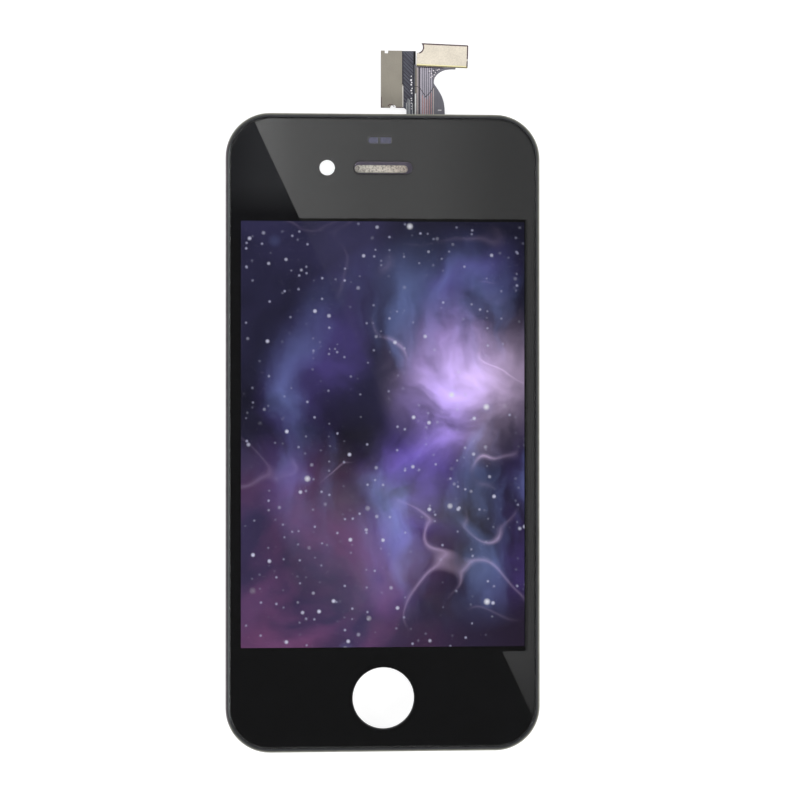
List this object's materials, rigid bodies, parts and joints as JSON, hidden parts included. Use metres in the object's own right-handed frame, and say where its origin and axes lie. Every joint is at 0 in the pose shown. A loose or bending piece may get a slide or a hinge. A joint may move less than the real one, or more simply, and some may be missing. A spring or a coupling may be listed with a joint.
{
  "type": "phone lcd screen assembly",
  "caption": "Phone screen assembly: bezel-framed glass with home hole, earpiece slot and camera window, display module behind and two flex tails with plugs.",
  "frame": {"origin": "centre of the bezel's outline, in the plane of the tab feet and post ends on which the part stands", "axes": "+Z out of the glass, +Y towards the earpiece and the flex tails, +X to the right as the screen is read"},
  "size_m": [0.0552, 0.1251, 0.0046],
  "materials": {
    "cover_glass": "clear polished glass",
    "border_ink": "black ink seen through glass",
    "sensor_ink": "translucent violet-grey ink",
    "clear_adhesive": "clear adhesive",
    "sensor_glass": "clear coated glass",
    "polariser": "dark film",
    "panel_glass": "panel glass",
    "chip": "black silicon",
    "black_tape": "black tape",
    "white_film": "white film",
    "prism_film": "ribbed clear film",
    "light_guide": "clear acrylic",
    "white_moulding": "white moulding",
    "led_body": "white body with yellow lens",
    "led_strip": "white flex",
    "tray_steel": "rolled steel sheet",
    "plate_steel": "satin steel sheet",
    "post_brass": "turned",
    "bezel_plastic": "fine moulded black",
    "mesh_steel": "bright wire",
    "gasket_foam": "black foam",
    "spacer_plastic": "black moulding",
    "flex_film": "dark slate film over copper traces",
    "touch_flex_film": "grey film over copper traces",
    "display_stiffener": "matt steel",
    "touch_stiffener": "pale matt steel",
    "connector_plastic": "black moulding",
    "contact_gold": "gold plated",
    "capacitor": "brown ceramic",
    "earth_tape": "copper foil"
  },
  "bodies": {
    "root": {"array_glass": "panel_glass", "backlight_frame": "white_moulding", "backlight_tray": "tray_steel", "bezel_frame": "bezel_plastic", "border_print": "border_ink", "bottom_plate": "plate_steel", "colour_filter_glass": "panel_glass", "corner_posts": "post_brass", "cover_glass": "cover_glass", "diffuser_film": "white_film", "display_adhesive": "clear_adhesive", "display_connector": "connector_plastic", "display_contacts": "contact_gold", "display_flex": "flex_film", "display_flex_stiffener": "display_stiffener", "driver_chip": "chip", "earpiece_gasket": "gasket_foam", "earpiece_mesh": "mesh_steel", "earth_tape": "earth_tape", "edge_tape_left": "black_tape", "edge_tape_right": "black_tape", "flex_capacitors": "capacitor", "frame_tape": "black_tape", "front_polariser": "polariser", "glass_adhesive": "clear_adhesive", "home_button_spacer": "spacer_plastic", "led_1": "led_body", "led_2": "led_body", "led_3": "led_body", "led_4": "led_body", "led_5": "led_body", "led_6": "led_body", "led_strip": "led_strip", "light_guide": "light_guide", "lower_prism_film": "prism_film", "rear_polariser": "polariser", "reflector_film": "white_film", "rim_tape": "black_tape", "sensor_foam_frame": "gasket_foam", "sensor_ink_left": "sensor_ink", "sensor_ink_right": "sensor_ink", "side_tab_left_bottom": "plate_steel", "side_tab_left_middle": "plate_steel", "side_tab_left_top": "plate_steel", "side_tab_right_bottom": "plate_steel", "side_tab_right_middle": "plate_steel", "side_tab_right_top": "plate_steel", "top_plate": "plate_steel", "touch_connector": "connector_plastic", "touch_contacts": "contact_gold", "touch_flex": "touch_flex_film", "touch_flex_stiffener": "touch_stiffener", "touch_sensor": "sensor_glass", "upper_prism_film": "prism_film"}
  },
  "joints": []
}
